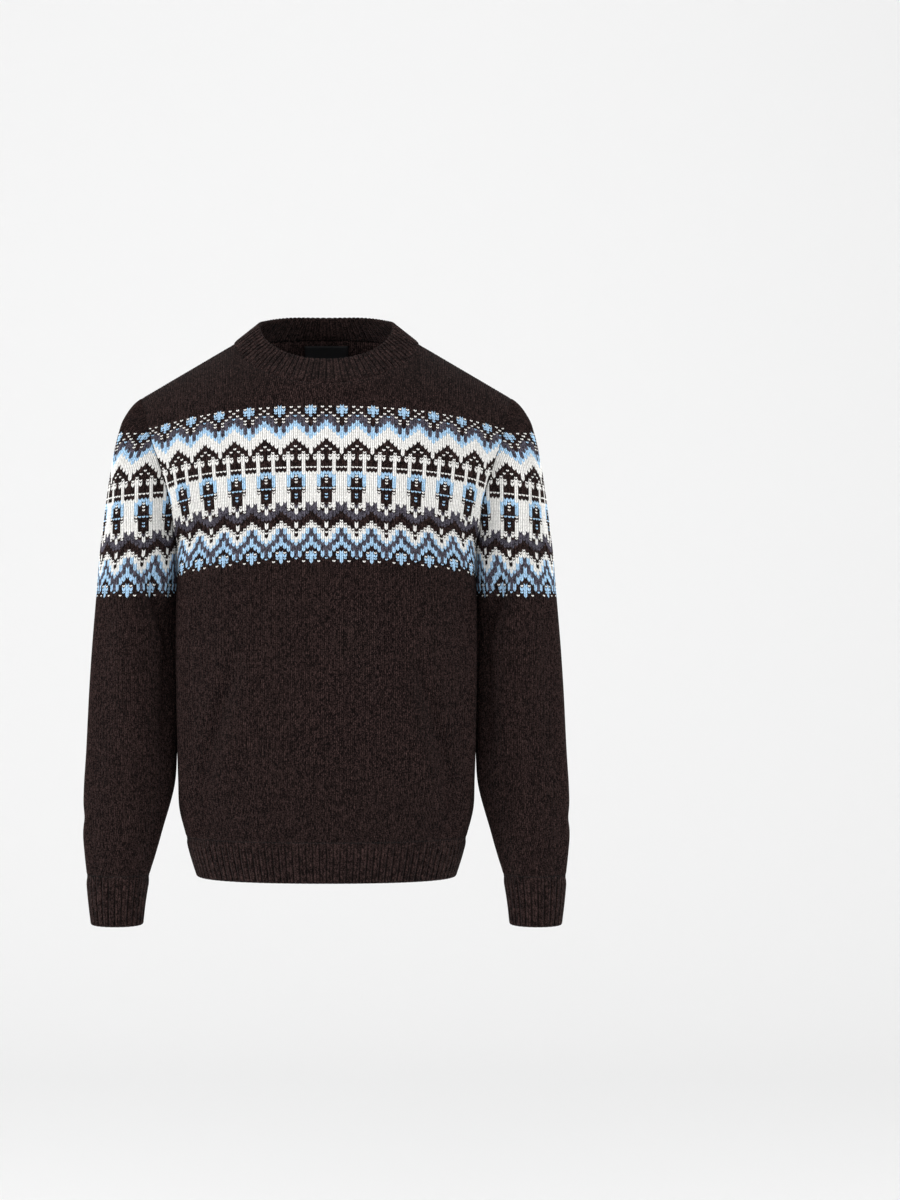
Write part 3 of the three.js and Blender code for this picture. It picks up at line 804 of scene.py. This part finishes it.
def cuff_path(up, around):
    course = mix(float(SLEEVE_FOOT), float(CUFF_FOOT), for_each(up, around))
    return ring_of_courses(course, around, sleeve_tables, True)


def neck_path(up, around):
    angle = (360 * np.asarray(around)) % 360
    return mix(neck_point(NECK_BASE, angle), neck_point(NECK_TOP, angle), for_each(up, around)[:, None])


def downward(path):
    """A path whose free edge is below, so it is walked the other way round to keep its outside out."""
    return lambda up, around: path(up, -np.asarray(around))


def mirrored_piece(piece, name):
    mesh = piece.data.copy()
    mesh.name = name
    mesh.transform(Matrix.Scale(-1, 4, (1, 0, 0)))
    mesh.flip_normals()
    return linked(name, mesh)


LABEL_HALF = 24.5
LABEL_STRETCH = 1.02
LABEL_ROWS = 12
LABEL_COLUMNS = 16
LABEL_FOOT = 3.9 / 7  # shares of the way from the last course to the neckline
LABEL_TOP = 6.4 / 7
LABEL_OUTSIDE = 3.0  # how far inside the plain form the label's two faces lie
LABEL_INSIDE = 3.8


def label_piece(name):
    """A blank woven label against the inside of the back."""
    across = np.linspace(-LABEL_HALF, LABEL_HALF, LABEL_COLUMNS)
    neckline = NECK_SHARE * panel_full(LAST_COURSE, 1)
    curves = yoke_curves(np.abs(across) * neckline / NECK_BASE["half_width"] * LABEL_STRETCH, 1)
    curves[..., 0] *= np.sign(across)
    picks = (np.linspace(LABEL_FOOT, LABEL_TOP, LABEL_ROWS) * (len(curves) - 1)).round().astype(int)
    sheet = curves[picks]
    out = unit(np.cross(np.gradient(sheet, axis=1), np.gradient(sheet, axis=0)))
    out *= np.sign(out[..., 1:2])
    outside = sheet - out * LABEL_OUTSIDE
    inside = sheet - out * LABEL_INSIDE
    points = np.concatenate([outside, inside[::-1], outside[:1]])
    number, first = weld(points)
    faces = triangles(cells(len(points), LABEL_COLUMNS))
    faces = faces[whole(faces, number)]
    j, k = np.divmod(faces.ravel(), LABEL_COLUMNS)
    bake = np.stack([0.02 + 0.96 * k / (LABEL_COLUMNS - 1), 0.02 + 0.96 * j / (len(points) - 1)], 1)
    ends = []
    for side in (0, LABEL_COLUMNS - 1):
        for row in range(LABEL_ROWS - 1):
            across_row = 2 * LABEL_ROWS - 1 - row
            quad = [step * LABEL_COLUMNS + side for step in (row, row + 1, across_row - 1, across_row)]
            a, b, c, d = quad if side == 0 else quad[::-1]
            ends += [[a, b, c], [a, c, d]]
    ends = number[np.array(ends)]
    joined = np.concatenate([number[faces], ends])
    bake = np.concatenate([bake, np.tile([0.01, 0.01], (ends.size, 1))])
    colours = np.tile(BROWN, (joined.size, 1))
    rows_of = j.reshape(-1, 3)
    folded = (rows_of.min(1) == LABEL_ROWS - 1) | (rows_of.max(1) == len(points) - 1)
    edges = np.concatenate([folded, np.ones(len(ends), dtype=bool)])
    uvs = {"OFBake": bake, "stitches": bake}
    return make_mesh(name, points.reshape(-1, 3)[first], joined, uvs, colours, edges)


def link(tree, source, target):
    tree.links.new(source, target)


def maths(tree, operation, *values):
    """A maths node of numbers or sockets."""
    node = tree.nodes.new("ShaderNodeMath")
    node.operation = operation
    for socket, value in zip(node.inputs, values):
        if isinstance(value, (int, float)):
            socket.default_value = value
        else:
            link(tree, value, socket)
    return node.outputs[0]


def noise(tree, vector, scale, detail):
    node = tree.nodes.new("ShaderNodeTexNoise")
    node.inputs["Scale"].default_value = scale
    node.inputs["Detail"].default_value = detail
    link(tree, vector, node.inputs["Vector"])
    return node.outputs[0]


def bump(tree, height, strength, distance, shader):
    node = tree.nodes.new("ShaderNodeBump")
    node.inputs["Strength"].default_value = strength
    node.inputs["Distance"].default_value = distance
    link(tree, height, node.inputs["Height"])
    link(tree, node.outputs[0], shader.inputs["Normal"])


def attribute(tree, name):
    node = tree.nodes.new("ShaderNodeAttribute")
    node.attribute_name = name
    return node


def new_material(name, **settings):
    """A material, its node tree and its shader with some inputs set."""
    material = bpy.data.materials.new(name)
    material.use_nodes = True
    shader = material.node_tree.nodes["Principled BSDF"]
    for setting, value in settings.items():
        shader.inputs[setting.replace("_", " ")].default_value = value
    return material, material.node_tree, shader


WOBBLE_SCALE = 260
WOBBLE = 0.2  # how far a stitch's sides stray, in wales
LEG_POWER = 0.8  # powers under 1 make the legs and rows of the loops fuller
ROW_POWER = 0.14
GAP_POWER = 0.5
GAP_LEAST = 0.5  # the height left in the gap between two wales, and what the rest adds
GAP_REST = 0.6
FUZZ_SCALE = 1500
FUZZ_RISE = 0.3
PLIES = 3.0  # turns of the plies to a course
PLY_SLANT = 4.0
PLY_RISE = 0.06
KNIT_BUMP = (0.85, 0.0013)
FLECK_WIDTH = 0.43  # a fleck's half width in wales, and its half height in courses
FLECK_HEIGHT = 0.27
FLECK_LEVEL = 0.73  # how high it lies at its stitch's middle
FLECK_FALL = -0.9  # keeps a fleck level on the slanting legs
FLECK_EDGE = (0.75, 1.1)
HEATHER_SCALE = 700
LEG_CHANCE = 0.25  # how much of the heathering goes by whole legs
HEATHER_MIDDLE = 0.625
HEATHER_STRENGTH = 5.0
DARKEST = 0.2
GAP_PAINTED_SHADE = 0.46  # painted shade: the brightness left between the loops, and the painted light that a loop's height adds
LOOP_PAINTED_LIGHT = 0.62


def knit_material(name):
    material, tree, shader = new_material(
        name, Roughness=0.95, Specular_IOR_Level=0.05, Sheen_Weight=0.02, Sheen_Roughness=0.5
    )

    def do(operation, *values):
        return maths(tree, operation, *values)

    yarn = attribute(tree, "yarn")
    fleck = attribute(tree, "fleck")
    place = tree.nodes.new("ShaderNodeTexCoord").outputs["Object"]
    uv = tree.nodes.new("ShaderNodeUVMap")
    uv.uv_map = "stitches"
    split = tree.nodes.new("ShaderNodeSeparateXYZ")
    link(tree, uv.outputs[0], split.inputs[0])
    across, v = split.outputs[0], split.outputs[1]
    u = do("ADD", across, do("MULTIPLY_ADD", noise(tree, place, WOBBLE_SCALE, 1), WOBBLE, -WOBBLE / 2))

    # The height of the loops. The gap between two wales is deeper than the one between a stitch's legs.
    leg = do("ABSOLUTE", do("SINE", do("MULTIPLY", u, 2 * math.pi)))
    row = do("ABSOLUTE", do("SINE", do("MULTIPLY", v, math.pi)))
    gap = do("ABSOLUTE", do("COSINE", do("MULTIPLY", u, math.pi)))
    loop = do("MULTIPLY", do("POWER", leg, LEG_POWER), do("POWER", row, ROW_POWER))
    loop = do("MULTIPLY", loop, do("MULTIPLY_ADD", do("POWER", gap, GAP_POWER), GAP_REST, GAP_LEAST))
    aside = do("PINGPONG", u, 0.5)
    slanted = do("ADD", do("MULTIPLY", v, PLIES), do("MULTIPLY", aside, PLY_SLANT))
    plies = do("SINE", do("MULTIPLY", slanted, 2 * math.pi))
    fuzz = noise(tree, place, FUZZ_SCALE, 3)
    height = do("MULTIPLY_ADD", plies, PLY_RISE, do("MULTIPLY_ADD", fuzz, FUZZ_RISE, loop))
    bump(tree, height, *KNIT_BUMP, shader)

    # A fleck shows only round the middle of its stitch.
    level = do("MULTIPLY_ADD", aside, FLECK_FALL, FLECK_LEVEL)
    along = do("ABSOLUTE", do("SUBTRACT", do("FRACT", v), level))
    aside_far = do("POWER", do("DIVIDE", aside, FLECK_WIDTH), 2.0)
    far = do("ADD", aside_far, do("POWER", do("DIVIDE", along, FLECK_HEIGHT), 2.0))
    hidden = tree.nodes.new("ShaderNodeMapRange")
    hidden.inputs["From Min"].default_value = FLECK_EDGE[0]
    hidden.inputs["From Max"].default_value = FLECK_EDGE[1]
    link(tree, far, hidden.inputs["Value"])
    ground = tree.nodes.new("ShaderNodeMix")
    ground.data_type = "RGBA"
    ground.inputs["B"].default_value = BROWN
    link(tree, do("MULTIPLY", hidden.outputs[0], fleck.outputs["Fac"]), ground.inputs["Factor"])
    link(tree, yarn.outputs["Color"], ground.inputs["A"])

    # Heathering by the yarn's strength of it, in patches and by whole legs, and painted shade between the
    # loops, darkest where they lie lowest.
    stitch = tree.nodes.new("ShaderNodeCombineXYZ")
    link(tree, do("FLOOR", do("MULTIPLY", across, 2.0)), stitch.inputs[0])
    link(tree, do("FLOOR", v), stitch.inputs[1])
    chance = tree.nodes.new("ShaderNodeTexWhiteNoise")
    link(tree, stitch.outputs[0], chance.inputs["Vector"])
    heather = do("ADD", noise(tree, place, HEATHER_SCALE, 0), do("MULTIPLY", chance.outputs[0], LEG_CHANCE))
    uneven = do("MULTIPLY", do("SUBTRACT", heather, HEATHER_MIDDLE), HEATHER_STRENGTH)
    speckle = do("MULTIPLY_ADD", uneven, yarn.outputs["Alpha"], 1.0)
    # Painted shade from the loops' height: darker in the gaps between legs and wales, a little brighter on
    # the loops.
    painted_shading = do("MULTIPLY_ADD", loop, LOOP_PAINTED_LIGHT, GAP_PAINTED_SHADE)
    tint = tree.nodes.new("ShaderNodeVectorMath")
    tint.operation = "SCALE"
    link(tree, ground.outputs["Result"], tint.inputs[0])
    link(tree, do("MULTIPLY", painted_shading, do("MAXIMUM", speckle, DARKEST)), tint.inputs["Scale"])
    link(tree, tint.outputs[0], shader.inputs["Base Color"])
    return material


SATIN_SCALE = 700
SATIN_DARK = (0.004, 0.004, 0.005, 1)
SATIN_LIGHT = (0.012, 0.012, 0.013, 1)
SATIN_BUMP = (0.3, 0.0002)


def satin_material():
    material, tree, shader = new_material("satin", Roughness=0.6, Specular_IOR_Level=0.2)
    coords = tree.nodes.new("ShaderNodeTexCoord")
    wave = tree.nodes.new("ShaderNodeTexWave")
    wave.inputs["Scale"].default_value = SATIN_SCALE
    link(tree, coords.outputs["Object"], wave.inputs["Vector"])
    ramp = tree.nodes.new("ShaderNodeValToRGB")
    ramp.color_ramp.elements[0].color = SATIN_DARK
    ramp.color_ramp.elements[1].color = SATIN_LIGHT
    link(tree, wave.outputs[0], ramp.inputs[0])
    link(tree, ramp.outputs[0], shader.inputs["Base Color"])
    bump(tree, wave.outputs[0], *SATIN_BUMP, shader)
    return material


BODY_BAND = 145  # the band's top course
SLEEVE_BAND = 143

body_folds = folds_of(BODY_FOLDS, True)
front = knit_piece("front_knit", panel_grid(-1), BODY_BAND, body_folds)
back = knit_piece("back_knit", panel_grid(1), BODY_BAND, body_folds)
sleeve_left = knit_piece("sleeve_left_knit", sleeve_grid(), SLEEVE_BAND, folds_of(SLEEVE_FOLDS, False))
sleeve_right = mirrored_piece(sleeve_left, "sleeve_right_knit")
neck_rib = ribbed_ring("neck_rib_knit", 88, 9, neck_path, level=False, hangs=False)
hem_rib = ribbed_ring("hem_rib_knit", 110, 14, downward(hem_path), level=True, hangs=True)
cuff_left = ribbed_ring("cuff_left_knit", 28, 17, downward(cuff_path), level=True, hangs=True)
cuff_right = mirrored_piece(cuff_left, "cuff_right_knit")
label = label_piece("label_satin")

wool = knit_material("wool_knit")
satin = satin_material()

# Each piece with the solid that it dresses, its material and slot, and the size and area of its flat cut.
PIECES = (
    ("front", front, wool, "knit", (0.52, 0.66), 0.297),
    ("back", back, wool, "knit", (0.52, 0.67), 0.308),
    ("sleeve_left", sleeve_left, wool, "knit", (0.40, 0.61), 0.198),
    ("sleeve_right", sleeve_right, wool, "knit", (0.40, 0.61), 0.198),
    ("neck_rib", neck_rib, wool, "rib", (0.71, 0.042), 0.0246),
    ("hem_rib", hem_rib, wool, "rib", (0.92, 0.052), 0.0453),
    ("cuff_left", cuff_left, wool, "rib", (0.25, 0.063), 0.0141),
    ("cuff_right", cuff_right, wool, "rib", (0.25, 0.063), 0.0141),
    ("neck_label", label, satin, "label", (0.05, 0.043), 0.0021),
)
for node, piece, material, slot, flat, area in PIECES:
    piece.data.materials.append(material)
    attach(piece, "root")
    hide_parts(node)


FLOOR_HEIGHT = -1.45
FLOOR_REACH = 40.0
FLOOR_BACK = 3.0  # where the floor begins to curve up
FLOOR_CURVE = 1.5
FLOOR_STEPS = 12
WALL_TOP = 7.0
FLOOR_COLOUR = (0.9, 0.9, 0.9, 1)


def sweep(name):
    """A pale floor that curves up into a backdrop."""
    profile = [(-FLOOR_REACH, FLOOR_HEIGHT)]
    for k in range(FLOOR_STEPS + 1):
        turn = math.pi / 2 * k / FLOOR_STEPS
        rise = FLOOR_CURVE * (1 - math.cos(turn))
        profile.append((FLOOR_BACK + FLOOR_CURVE * math.sin(turn), FLOOR_HEIGHT + rise))
    profile.append((FLOOR_BACK + FLOOR_CURVE, WALL_TOP))
    vertices = [(x, y, z) for y, z in profile for x in (-FLOOR_REACH, FLOOR_REACH)]
    faces = [(2 * k, 2 * k + 1, 2 * k + 3, 2 * k + 2) for k in range(len(profile) - 1)]
    mesh = bpy.data.meshes.new(name)
    mesh.from_pydata(vertices, [], faces)
    mesh.polygons.foreach_set("use_smooth", [True] * len(faces))
    mesh.materials.append(new_material("pale_floor", Base_Color=FLOOR_COLOUR, Roughness=1.0)[0])
    linked(name, mesh)


# Each lamp's name, place, aim, width and power.
LAMPS = (
    ("left", (-3.2, -1.5, 0.8), (0, 0, -0.3), 1.5, 78),
    ("right", (3.2, -1.5, 0.8), (0, 0, -0.3), 1.5, 50),
    ("front", (-0.6, -4.2, 1.4), (0, 0, -0.3), 2.2, 21),
    ("backdrop", (0, 2.4, 3.2), (0, 4.2, -0.6), 3.5, 6),
)
WORLD_COLOUR = (1, 1, 1, 1)
WORLD_STRENGTH = 0.74

CAMERA_PLACE = (0, -3.2, -0.345)
CAMERA_LENS = 76.8
CAMERA_SENSOR = 36
CAMERA_SHIFT = (0.103, 0.0175)


def soft_light(name, place, aim, size, power):
    data = bpy.data.lights.new(name, "AREA")
    data.shape = "DISK"
    data.size = size
    data.energy = power
    lamp = linked(name, data)
    lamp.visible_camera = False
    lamp.location = place
    lamp.rotation_euler = (Vector(aim) - Vector(place)).to_track_quat("-Z", "Y").to_euler()


sweep("floor")
for lamp in LAMPS:
    soft_light(*lamp)
world = bpy.data.worlds.new("studio")
world.use_nodes = True
world.node_tree.nodes["Background"].inputs["Color"].default_value = WORLD_COLOUR
world.node_tree.nodes["Background"].inputs["Strength"].default_value = WORLD_STRENGTH
bpy.context.scene.world = world

camera_data = bpy.data.cameras.new("camera")
camera_data.lens = CAMERA_LENS
camera_data.sensor_width = CAMERA_SENSOR
camera_data.shift_x, camera_data.shift_y = CAMERA_SHIFT
camera = linked("camera", camera_data)
camera.location = CAMERA_PLACE
camera.rotation_euler = (math.radians(90), 0, 0)
bpy.context.scene.camera = camera
bpy.context.scene.view_settings.view_transform = "Standard"
